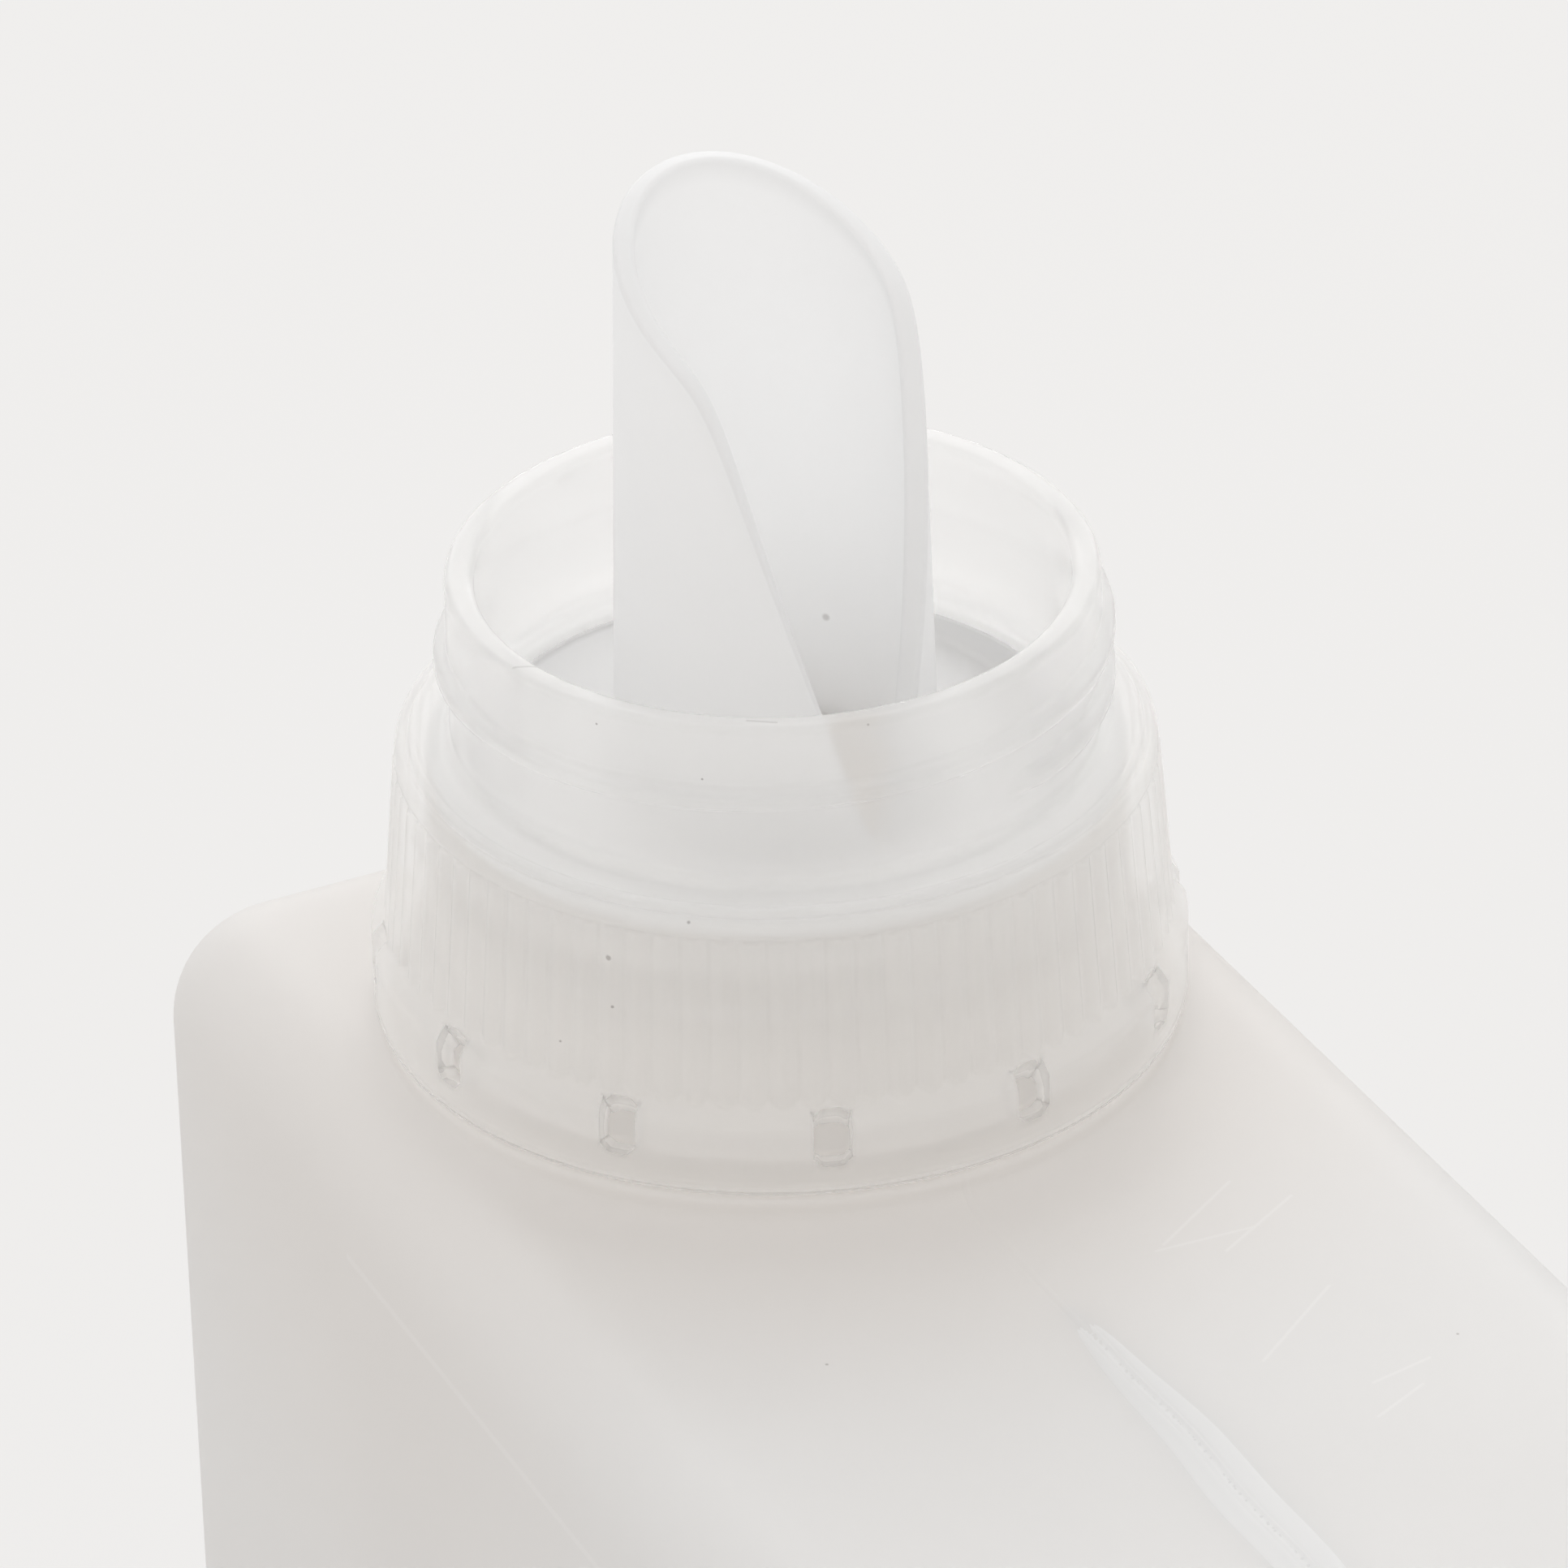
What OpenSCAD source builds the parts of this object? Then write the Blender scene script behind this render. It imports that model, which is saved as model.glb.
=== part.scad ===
// Refill container for liquid household products: a blow-moulded rectangular bottle with its neck
// near one end, a spout insert that drains back into the bottle, and a screwed pouring collar that
// clamps the insert on the mouth. Z is up, the origin is the middle of the base, and the neck
// stands towards -X. All sizes are in millimetres.

/* [Bottle] */
// Length of the bottle, along X
bottle_l = 150; // [120:1:200]
// Thickness of the bottle, along Y
bottle_w = 75; // [72:1:110]
// Height of the shoulder above the table
shoulder_h = 165; // [90:1:240]
// Radius of the upright corners, seen from above
corner_r = 10; // [8.5:0.5:20]
// Radius of the rounded edge round the shoulder
shoulder_edge_r = 8; // [3:0.5:8]
// Radius of the rounded edge round the base
base_edge_r = 5; // [2:0.5:8]
// Thickness of the blown wall
wall = 1.2; // [0.8:0.1:2]
// Depth of the hollow pushed up into the base
punt_h = 1.5; // [0.5:0.1:4]
// Width of the foot left round that hollow
foot_w = 11; // [8:0.5:20]
// Distance of the neck's axis from the middle of the bottle, towards -X
neck_offset = 36; // [0:1:36]

/* [Bottle neck] */
// Radius of the bore of the mouth
mouth_r = 23.4; // [21:0.1:23.4]
// Thickness of the neck's wall
neck_wall = 1.8; // [1.4:0.1:1.8]
// Height of the mouth above the shoulder
neck_h = 22.4; // [21:0.1:26]
// Radius of the root ring that the neck stands on
root_ring_r = 30.5; // [30:0.1:32]
// Height of the root ring above the shoulder
root_ring_h = 2.6; // [1:0.1:2.8]
// Radius of the hollow fillet where the root ring meets the shoulder
root_fillet_r = 2; // [0.5:0.1:2]
// Radius of the guide bead that steadies the collar's band
guide_bead_r = 28.6; // [27.4:0.1:28.8]
// Height of the guide bead above the shoulder
guide_bead_h = 5.5; // [4.5:0.1:5.8]
// Height of the guide bead's upright side
guide_bead_w = 0.8; // [0.5:0.1:1]
// Depth of the bottle thread's upper end below the mouth
bottle_thread_start = 2.4; // [2:0.1:3]

/* [Screw thread between bottle and collar] */
// Rise of both threads in one turn
thread_pitch = 4.2; // [3.8:0.1:5]
// Turns of thread on the bottle's neck
bottle_thread_turns = 1.5; // [1:0.1:1.6]
// Turns of thread inside the collar
collar_thread_turns = 1; // [0.5:0.1:1]
// How far a thread stands out of its wall
thread_depth = 0.9; // [0.6:0.05:1]
// Width of a thread where it leaves its wall
thread_root_w = 2; // [1.4:0.1:2]
// Width of a thread's flat crest
thread_crest_w = 0.8; // [0.4:0.1:1]

/* [Pouring collar] */
// Gap between the shoulder and the band's lower edge
band_gap = 3.1; // [2.9:0.1:5]
// Outer radius of the threaded pouring neck
rim_r = 24.4; // [23.8:0.1:24.6]
// Thickness of the pouring neck's wall
rim_wall = 2.2; // [1.6:0.1:2.4]
// Height of the pouring neck above its ledge
rim_h = 13.4; // [12:0.1:20]
// Thickness of the ledge that the pouring neck stands on
ledge_t = 1.65; // [1.2:0.05:2]
// Outer radius of the ledge
ledge_r = 28.3; // [28:0.1:28.6]
// Radius of the roll round the ledge's outer edge
roll_r = 1.1; // [0.6:0.1:1.2]
// Height of the fine lip at the inner side of that roll
lip_h = 0.25; // [0.1:0.05:0.4]
// Width of the fine lip
lip_w = 0.7; // [0.4:0.1:0.9]
// Distance from the lip to the top of the roll
lip_offset = 0.4; // [0.3:0.1:0.6]
// Radius of the skirt at the foot of the ribs
skirt_r = 29.3; // [29:0.1:29.6]
// Thickness of the skirt's wall at the ledge
skirt_wall = 1.7; // [1.4:0.1:1.8]
// Outer radius of the lower band
band_r = 31; // [30.8:0.1:31.4]
// Thickness of the lower band
band_wall = 1.6; // [1.2:0.1:1.7]
// Height of the lower band's upright side
band_h = 6; // [5:0.1:7]
// Height of the slope from the ribs out to the band
band_slope_h = 1.5; // [1:0.1:2]

/* [Bead in the collar that holds the insert] */
// Height of the bead's flat crest
snap_flat_h = 0.4; // [0.2:0.1:0.6]
// Height of the slopes above and below the crest
snap_slope_h = 0.4; // [0.3:0.1:0.5]

/* [Small roundings] */
// Rounding of the rim's edges
rim_round_r = 0.7; // [0.3:0.1:0.7]
// Hollow rounding where the pouring neck meets its ledge
neck_foot_r = 0.8; // [0.4:0.1:0.8]
// Rounding of the band, the root ring and the guide bead
edge_round_r = 0.5; // [0.2:0.1:0.5]
// Rounding of the bottle's mouth
mouth_round_r = 0.4; // [0.2:0.1:0.5]

/* [Grip ribs] */
// Number of ribs round the skirt
rib_count = 84; // [48:1:96]
// How far a rib stands out of the skirt
rib_depth = 0.45; // [0.2:0.05:0.6]

/* [Band windows] */
// Number of windows round the band
window_count = 12; // [6:1:16]
// Width of a window
window_w = 2.8; // [1.5:0.1:4]
// Height of a window
window_h = 4.4; // [2:0.1:4.6]
// Height of a window's sill above the band's lower edge
window_sill_h = 2.5; // [1.5:0.1:3]
// Angle of the first window from +X
window_turn = 10.9; // [0:0.1:30]

/* [Cap thread on the pouring neck] */
// Rise of the cap thread in one turn
cap_thread_pitch = 4.2; // [3:0.1:4.4]
// Turns of the cap thread
cap_thread_turns = 1.5; // [1:0.1:1.8]
// How far the cap thread stands out of the pouring neck
cap_thread_depth = 1; // [0.5:0.1:1.2]
// Width of the cap thread where it leaves the wall
cap_thread_root_w = 2; // [1.2:0.1:2.4]
// Width of the cap thread's crest
cap_thread_crest_w = 0.8; // [0.3:0.1:1]
// Depth of the cap thread's upper end below the rim
cap_thread_start = 3.2; // [2:0.1:4]
// Angle of the cap thread's upper end from +X
cap_thread_turn = 198; // [0:1:359]

/* [Spout insert] */
// Height of the spout's tip above the collar's rim
spout_tip_h = 29.5; // [15:0.1:45]
// Outer radius of the spout, level with the rim
spout_r = 11.8; // [9:0.1:13]
// Thickness of the spout's wall
spout_wall = 1.8; // [1.2:0.1:2.4]
// Narrowing of the spout's radius for each millimetre up
spout_draft = 0.024; // [0:0.002:0.04]
// Angle of the spout's open side from +X
spout_turn = 14; // [0:1:359]
// Drop of the spout's edge from its tip to its cheeks
lip_drop = 6.6; // [3:0.1:10]
// Height of the imagined foot of the notch below the rim
notch_foot = 21.5; // [18:0.1:26]
// Rise of the notch's edge for each degree round the spout
notch_rise = 0.66; // [0.4:0.01:0.9]
// Length over which the lip and the notch blend
notch_blend = 3; // [1:0.1:5]
// Thickness of the flange clamped between collar and mouth
flange_t = 1.5; // [1:0.1:2]
// How far the flange reaches past the outside of the bottle's neck
flange_reach = 0.8; // [0.6:0.05:0.9]
// Depth of the plug below the mouth
plug_h = 10; // [9:0.1:14]
// Thickness of the plug's wall
plug_wall = 1.2; // [0.9:0.1:1.4]
// Height of the taper that leads the plug into the mouth
plug_lead_h = 1.2; // [0.6:0.1:2]
// Depth of that taper
plug_lead_w = 0.5; // [0.2:0.1:0.7]
// Slope of the drain floor towards the spout's open side, in degrees
drain_slope = 6.4; // [3:0.1:8]
// Thickness of the drain floor
drain_t = 1.4; // [1:0.1:1.8]

/* [Clearances] */
// Gap between the insert's flange and the collar's seat above it
seat_gap = 0.05; // [0.02:0.01:0.1]
// Gap round the insert's flange inside the collar
flange_gap = 0.1; // [0.1:0.05:0.2]
// Gap between the plug and the bore of the mouth
plug_gap = 0.08; // [0.04:0.01:0.1]
// Gap between the collar's skirt and the bottle's thread
thread_gap = 0.4; // [0.3:0.05:0.6]
// Gap between the insert's flange and the bead that holds it in the collar
snap_gap = 0.2; // [0.15:0.05:0.3]
// Gap between that bead and the outside of the bottle's neck
snap_neck_gap = 0.35; // [0.3:0.05:0.4]

/* [Hidden] */
round_fn = 64;
hull_fn = 32;
arc_steps = 4;
thread_step = 7.5;
thread_fade_steps = 3;
sink = 0.3;
bead_r = min(edge_round_r, (guide_bead_h - root_ring_h) / 2);
ring_fillet_r = min(root_fillet_r, root_ring_h - edge_round_r);
neck_x = -neck_offset;
neck_r = mouth_r + neck_wall;
mouth_z = shoulder_h + neck_h;
thread_crest_r = neck_r + thread_depth;
skirt_bore_r = thread_crest_r + thread_gap;
band_low_z = shoulder_h + band_gap;
band_top_z = band_low_z + band_h;
slope_top_z = band_top_z + band_slope_h;
flange_top_z = mouth_z + flange_t;
seat_z = flange_top_z + seat_gap;
ledge_z = seat_z + ledge_t;
rim_z = ledge_z + rim_h;
rim_bore_r = rim_r - rim_wall;
band_bore_r = band_r - band_wall;
skirt_shoulder_z = slope_top_z - skirt_wall;
rib_top_z = ledge_z - 2 * roll_r;
flange_r = neck_r + flange_reach;
snap_r = neck_r + snap_neck_gap;
snap_top_z = mouth_z - snap_gap;
plug_r = mouth_r - plug_gap;
plug_bore_r = plug_r - plug_wall;
bottle_thread_top_z = mouth_z - bottle_thread_start;
tip_z = rim_z + spout_tip_h;
punt_r = max(1, corner_r - foot_w / 2);

// Points along an arc of radius r about c, from angle a0 to a1
function arc(c, r, a0, a1, n = arc_steps) =
    [for (i = [0 : n]) let (a = a0 + (a1 - a0) * i / n) [c[0] + r * cos(a), c[1] + r * sin(a)]];

// A smooth lower bound of a and b, which blends over the length k
function soft_min(a, b, k) = min(a, b) - k * ln(1 + exp(-abs(a - b) / k));

// Height of the spout's edge at an angle from its open side, a long lip that dips into a notch
function spout_edge_z(a) =
    soft_min(tip_z - lip_drop - lip_drop * cos(a), rim_z - notch_foot + notch_rise * abs(a), notch_blend);

// Height of the drain floor at a distance along the spout's open direction
function drain_z(x) = flange_top_z - (x + plug_bore_r) * tan(drain_slope);

// Radius of the spout's outside at a height
function spout_r_at(z) = spout_r - spout_draft * (z - rim_z);

// A block with round corners, standing on z = 0, and smaller all round by the inset
module rounded_block(l, w, h, corner, top_edge, low_edge, inset = 0) {
    r = corner - inset;
    t = max(0.2, top_edge - inset);
    b = max(0.2, low_edge - inset);
    x = l / 2 - corner;
    y = w / 2 - corner;
    hull() // a smooth blown shell, faceted
        for (sx = [-1, 1], sy = [-1, 1])
            translate([sx * x, sy * y, inset])
                rotate_extrude($fn = hull_fn)
                    polygon(concat(
                        [[0, 0]],
                        arc([r - b, b], b, -90, 0),
                        arc([r - t, h - 2 * inset - t], t, 0, 90),
                        [[0, h - 2 * inset]]));
}

// A thread ridge on a round wall: a trapezium swept along a right-handed helix, faded at its ends.
// It starts at angle and z_top and winds down clockwise. A negative depth makes it face inwards.
module thread_ridge(wall_r, depth, root_w, crest_w, pitch, turns, z_top, angle) {
    rings = ceil(turns * 360 / thread_step);
    side = sign(depth);
    points = [for (i = [0 : rings]) let (
            a = angle - turns * 360 * i / rings,
            z = z_top - turns * pitch * i / rings,
            k = min(1, i / thread_fade_steps, (rings - i) / thread_fade_steps),
            low = wall_r - side * sink,
            high = wall_r + depth * k)
        for (p = [[low, -root_w / 2], [high, -crest_w / 2], [high, crest_w / 2], [low, root_w / 2]])
            [p[0] * cos(a), p[0] * sin(a), z + p[1]]];
    ring_faces = [for (i = [0 : rings - 1], j = [0 : 3]) let (
            a = 4 * i + j,
            b = 4 * i + (j + 1) % 4)
        side > 0 ? [a, a + 4, b + 4, b] : [a, b, b + 4, a + 4]];
    end_faces = side > 0
        ? [[0, 1, 2, 3], [for (j = [3 : -1 : 0]) 4 * rings + j]]
        : [[3, 2, 1, 0], [for (j = [0 : 3]) 4 * rings + j]];
    polyhedron(points, concat(ring_faces, end_faces), convexity = 8); // faceted
}

// The bottle's neck as a solid of revolution, with its root ring and guide bead
module neck_solid() {
    fillet = ring_fillet_r;
    bead_low_z = shoulder_h + guide_bead_h - 2 * bead_r;
    bead_top_z = bead_low_z + bead_r + guide_bead_w;
    ring_z = shoulder_h + root_ring_h;
    rotate_extrude($fn = round_fn)
        polygon(concat(
            [[0, shoulder_h - wall], [root_ring_r + fillet, shoulder_h - wall]],
            arc([root_ring_r + fillet, shoulder_h + fillet], fillet, -90, -180),
            arc([root_ring_r - edge_round_r, ring_z - edge_round_r], edge_round_r, 0, 90),
            [[neck_r + wall, ring_z], [neck_r + wall, bead_low_z]],
            arc([guide_bead_r - bead_r, bead_low_z + bead_r], bead_r, -90, 0),
            [[guide_bead_r, bead_top_z], [neck_r, bead_top_z + (guide_bead_r - neck_r) / 2]],
            arc([neck_r - mouth_round_r, mouth_z - mouth_round_r], mouth_round_r, 0, 90),
            [[0, mouth_z]]));
}

// The way through the neck, which widens where the neck is blown out into its root ring
module neck_bore() {
    ring_bore_r = root_ring_r - wall;
    ring_roof_z = shoulder_h + root_ring_h - wall;
    rotate_extrude($fn = round_fn)
        polygon([
            [0, shoulder_h - 3 * wall],
            [ring_bore_r, shoulder_h - 3 * wall],
            [ring_bore_r, ring_roof_z - edge_round_r],
            [ring_bore_r - edge_round_r, ring_roof_z],
            [mouth_r, ring_roof_z + edge_round_r],
            [mouth_r, mouth_z + 1],
            [0, mouth_z + 1]]);
}

module bottle() {
    color([0.93, 0.93, 0.92]) {
        difference() {
            union() {
                rounded_block(bottle_l, bottle_w, shoulder_h, corner_r, shoulder_edge_r, base_edge_r);
                translate([neck_x, 0, 0]) {
                    neck_solid();
                    thread_ridge(neck_r, thread_depth, thread_root_w, thread_crest_w, thread_pitch,
                        bottle_thread_turns, bottle_thread_top_z, 0);
                }
            }
            // the hollow inside, which rises over the punt
            difference() {
                rounded_block(bottle_l, bottle_w, shoulder_h, corner_r, shoulder_edge_r,
                    base_edge_r, wall);
                punt(wall);
            }
            translate([neck_x, 0, 0])
                neck_bore();
            punt(0);
        }
    }
}

// The hollow pushed up into the base, grown by the wall for the skin above it
module punt(grow) {
    l = bottle_l - 2 * foot_w;
    w = bottle_w - 2 * foot_w;
    x = l / 2 - punt_r;
    y = w / 2 - punt_r;
    translate([0, 0, -1])
        linear_extrude(height = 1 + punt_h + grow)
            offset(r = punt_r + grow)
                square([2 * x, 2 * y], center = true);
}

// The collar's section: pouring neck, ledge with its lip and roll, skirt, slope and band
module collar_profile() {
    roll_x = ledge_r - roll_r;
    lip_x = roll_x - lip_offset;
    lip_flank = lip_w / 4;
    crest_z = snap_top_z - snap_slope_h;
    polygon(concat(
        arc([rim_r - rim_round_r, rim_z - rim_round_r], rim_round_r, 90, 0),
        arc([rim_r + neck_foot_r, ledge_z + neck_foot_r], neck_foot_r, 180, 270),
        [[lip_x - lip_w, ledge_z], [lip_x - lip_w + lip_flank, ledge_z + lip_h]],
        [[lip_x - lip_flank, ledge_z + lip_h], [lip_x, ledge_z]],
        arc([roll_x, ledge_z - roll_r], roll_r, 90, 0),
        [[skirt_r, slope_top_z]],
        arc([band_r - edge_round_r, band_top_z - edge_round_r], edge_round_r, 45, 0),
        arc([band_r - edge_round_r, band_low_z + edge_round_r], edge_round_r, 0, -90),
        [[band_bore_r, band_low_z], [band_bore_r, skirt_shoulder_z - band_slope_h]],
        [[skirt_bore_r, skirt_shoulder_z]],
        [[skirt_bore_r, crest_z - snap_flat_h - snap_slope_h], [snap_r, crest_z - snap_flat_h]],
        [[snap_r, crest_z], [flange_r + flange_gap, snap_top_z], [flange_r + flange_gap, seat_z]],
        [[rim_bore_r, seat_z]],
        arc([rim_bore_r + rim_round_r, rim_z - rim_round_r], rim_round_r, 180, 90)));
}

// The grip: a tapered sleeve whose outside rises and falls in rounded ribs
module rib_sleeve() {
    per_rib = 4;
    columns = rib_count * per_rib;
    low_z = slope_top_z - band_slope_h / 2;
    crest = [for (j = [0 : per_rib - 1]) (1 - cos(360 * j / per_rib)) / 2];
    proud = rib_depth / 8;
    rings = [
        // height, radius in the valleys, and how much of the rib stands there
        [low_z, skirt_r + proud, 1],
        [rib_top_z - rib_depth, ledge_r + proud, 1],
        [rib_top_z + rib_depth, ledge_r + proud / 2, 0]];
    inner_drop = skirt_wall / 2;
    points = concat(
        [for (g = rings, i = [0 : columns - 1]) let (
                a = 360 * i / columns,
                r = g[1] + rib_depth * g[2] * crest[i % per_rib])
            [r * cos(a), r * sin(a), g[0]]],
        [for (g = [rings[2], rings[0]], i = [0 : columns - 1]) let (
                a = 360 * i / columns,
                r = g[1] - inner_drop)
            [r * cos(a), r * sin(a), g[0]]]);
    loops = 5;
    faces = [for (k = [0 : loops - 1], i = [0 : columns - 1]) let (
            a = k * columns + i,
            b = k * columns + (i + 1) % columns,
            c = ((k + 1) % loops) * columns + (i + 1) % columns,
            d = ((k + 1) % loops) * columns + i)
        [a, d, c, b]];
    polyhedron(points, faces, convexity = 8); // faceted
}

module pouring_collar() {
    color([0.95, 0.95, 0.94])
        translate([neck_x, 0, 0])
            difference() {
                union() {
                    rotate_extrude($fn = round_fn)
                        collar_profile();
                    rib_sleeve();
                    thread_ridge(rim_r, cap_thread_depth, cap_thread_root_w, cap_thread_crest_w,
                        cap_thread_pitch, cap_thread_turns, rim_z - cap_thread_start,
                        cap_thread_turn);
                    thread_ridge(skirt_bore_r, -thread_depth, thread_root_w, thread_crest_w,
                        thread_pitch, collar_thread_turns, bottle_thread_top_z - thread_pitch / 2, 0);
                }
                for (i = [0 : window_count - 1])
                    rotate([0, 0, window_turn + 360 * i / window_count])
                        translate([band_bore_r - 1, -window_w / 2, band_low_z + window_sill_h])
                            cube([band_wall + 3, window_w, window_h]);
            }
}

// The spout's wall: its foot stands in the drain floor and its top follows the spout's edge
module spout_tube() {
    columns = 72;
    points = [for (i = [0 : columns - 1]) let (
            a = 360 * i / columns,
            from_notch = a > 180 ? 360 - a : a,
            floor_z = drain_z(spout_r * cos(a)) - drain_t / 2,
            foot_z = floor_z - drain_t / 4,
            top_z = max(spout_edge_z(from_notch), floor_z),
            r_foot = spout_r_at(foot_z),
            r_top = spout_r_at(top_z))
        for (p = [[r_foot, foot_z], [r_top, top_z], [r_top - spout_wall, top_z],
                [r_foot - spout_wall, foot_z]])
            [p[0] * cos(a), p[0] * sin(a), p[1]]];
    faces = [for (i = [0 : columns - 1], j = [0 : 3]) let (
            n = (i + 1) % columns,
            k = (j + 1) % 4)
        [4 * i + j, 4 * i + k, 4 * n + k, 4 * n + j]];
    polyhedron(points, faces, convexity = 8); // faceted
}

// The drain floor: a slab tilted towards the spout's open side, trimmed to the plug's bore
module drain_floor() {
    foot_r = spout_r_at(drain_z(0));
    difference() {
        intersection() {
            translate([0, 0, drain_z(plug_bore_r) - 2 * drain_t])
                cylinder(r = plug_bore_r + sink, h = flange_top_z - drain_z(plug_bore_r) + 2 * drain_t,
                    $fn = round_fn);
            translate([0, 0, drain_z(0)])
                rotate([0, drain_slope, 0])
                    translate([-2 * plug_r, -2 * plug_r, -drain_t])
                        cube([4 * plug_r, 4 * plug_r, drain_t]);
        }
        translate([0, 0, drain_z(plug_bore_r) - 3 * drain_t])
            cylinder(r = foot_r - spout_wall - sink, h = 8 * drain_t + plug_h, $fn = round_fn);
    }
}

module spout_insert() {
    color([0.90, 0.90, 0.89])
        translate([neck_x, 0, 0])
            rotate([0, 0, spout_turn]) {
                rotate_extrude($fn = round_fn)
                    polygon([
                        [plug_bore_r, mouth_z - plug_h],
                        [plug_r - plug_lead_w, mouth_z - plug_h],
                        [plug_r, mouth_z - plug_h + plug_lead_h],
                        [plug_r, mouth_z],
                        [flange_r, mouth_z],
                        [flange_r, flange_top_z],
                        [plug_bore_r, flange_top_z]]);
                drain_floor();
                spout_tube();
            }
}

bottle();
pouring_collar();
spout_insert();
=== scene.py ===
"""Dresses the refill container: a blown bottle, a screwed pouring collar and a spout insert."""

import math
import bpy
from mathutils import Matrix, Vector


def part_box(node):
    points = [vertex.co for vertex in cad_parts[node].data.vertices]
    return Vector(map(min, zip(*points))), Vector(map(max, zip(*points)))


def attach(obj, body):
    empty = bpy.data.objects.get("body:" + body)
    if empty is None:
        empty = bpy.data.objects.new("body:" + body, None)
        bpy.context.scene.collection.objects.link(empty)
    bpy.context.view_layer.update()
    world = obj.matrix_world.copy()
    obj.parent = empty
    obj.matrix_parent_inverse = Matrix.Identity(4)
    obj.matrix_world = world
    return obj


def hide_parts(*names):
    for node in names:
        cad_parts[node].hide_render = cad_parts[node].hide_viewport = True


bl_info = {
    "name": "Refill container dresser",
    "version": (1, 0, 0),
    "blender": (4, 5, 0),
    "location": "View3D > Sidebar > Container",
    "description": "Builds the surfaces and finishes of a refill container over its frame",
    "category": "Object",
}

import bpy
import numpy as np
from mathutils import Matrix, Vector

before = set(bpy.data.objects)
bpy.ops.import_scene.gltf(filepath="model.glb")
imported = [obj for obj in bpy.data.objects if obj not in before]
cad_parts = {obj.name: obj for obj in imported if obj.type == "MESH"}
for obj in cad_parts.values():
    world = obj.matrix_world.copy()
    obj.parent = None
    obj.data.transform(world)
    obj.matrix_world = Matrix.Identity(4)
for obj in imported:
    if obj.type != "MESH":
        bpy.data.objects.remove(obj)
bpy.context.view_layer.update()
BOTTLE_LOW, BOTTLE_HIGH = (np.array(corner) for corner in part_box("bottle"))
COLLAR_LOW, COLLAR_HIGH = (np.array(corner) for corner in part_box("pouring_collar"))
SPOUT_HIGH = np.array(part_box("spout_insert")[1])

# Places read from the frame, in millimetres
MM = 0.001
NECK_X = float(COLLAR_LOW[0] + COLLAR_HIGH[0]) / 2 / MM
RIM_Z = float(COLLAR_HIGH[2]) / MM
MOUTH_Z = float(BOTTLE_HIGH[2]) / MM
TIP_H = float(SPOUT_HIGH[2]) / MM - RIM_Z
HALF_L = float(BOTTLE_HIGH[0]) / MM
HALF_W = float(BOTTLE_HIGH[1]) / MM

# Sizes of the bottle, in millimetres
NECK_H = 22.4
SHOULDER_Z = MOUTH_Z - NECK_H
CORNER_R = 10.0
EDGE_R = 8.0
BASE_EDGE_R = 5.0
WALL = 1.2
PUNT_H = 1.5
FOOT_W = 11.0
MOUTH_R = 23.4
NECK_R = 25.2

# Sizes of the collar, with heights measured from its rim
RIM_R = 24.4
BORE_R = 22.2
SKIRT_BORE_R = 26.5
BAND_R = 31.0
BAND_BORE_R = 29.4
FLANGE_T = 1.5
FLANGE_TOP = MOUTH_Z + FLANGE_T - RIM_Z
BAND_LOW = float(COLLAR_LOW[2]) / MM - RIM_Z

# Columns round the collar: few on its plain parts, and twice as many on its ribs and its band
COARSE = 336
FINE = 2 * COARSE

# Sizes of the insert's drain floor and plug, in millimetres, with the floor's slope in degrees
DRAIN_SLOPE = 6.4
DRAIN_T = 1.4
PLUG_H = 10.0

# Threads: rise in one turn, depth, and width at the wall and at the crest, in millimetres
SCREW_THREAD = (4.2, 0.9, 2.0, 0.8)
CAP_THREAD = (4.2, 1.0, 2.1, 0.8)
CAP_THREAD_START = 198
CAP_THREAD_TURNS = 541 / 360

# The camera's sensor in millimetres, and the lens's length and the photo's width in pixels
SENSOR = 36.0
LENS_PIXELS = 11559
PHOTO_PIXELS = 1932

# Fine marks of handling: the middle and radius of each speck, the two ends of each scratch, and last the two
# ends of a painted highlight line, in millimetres, with heights measured from the shoulder on the bottle and
# from the rim elsewhere
BOTTLE_SPECKS = ((8.6, -18.5, 0, 0.16), (3.6, -32.1, 0, 0.14), (26.3, 23.4, 0, 0.14))
COLLAR_SPECKS = ((-11.96, -4.2, -0.38, 0.15), (-23.0, -20.65, -1.46, 0.12), (-16.9, -15.2, -4.44, 0.12),
                 (-17.95, -22.6, -17.97, 0.28), (-17.5, -22.6, -21.9, 0.16), (-20.9, -25.3, -25.9, 0.16),
                 (-13.9, -18.0, -14.1, 0.2))
SPOUT_SPECKS = ((-34.6, -11.6, 29.2, 0.14), (-42.9, 7.75, -10.0, 0.4))
SHOULDER_HAIRS = (((6.1, 10.3), (0.9, 18.6)), ((6.6, 9.4), (7.1, 17.3)), ((9.0, 13.9), (4.7, 21.7)),
                  ((22.8, 9.4), (16.5, 18.3)), ((28.9, 15.0), (28.0, 20.1)), ((32.8, 13.2), (30.7, 18.0)))
RIM_HAIRS = (((-31.3, -24.2), (-30.2, -21.6)), ((-16.0, -11.9), (-14.8, -10.2)))
SIDE_HIGHLIGHT = ((-34.0, -9.7), (12.0, -11.0))

# The nearly level direction that the room's dimmer light comes from
FRONT = (0.9, -0.43, 0.1)

# Colours of specks, of hair scratches and the painted highlight line, and of the floor, and the depth of a
# skin's waves in metres
SPECK = (0.2, 0.18, 0.16, 1)
WHITE = (1, 1, 1, 1)
FLOOR = (0.8, 0.79, 0.78, 1)
SKIN_DEPTH = 0.0001


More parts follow.
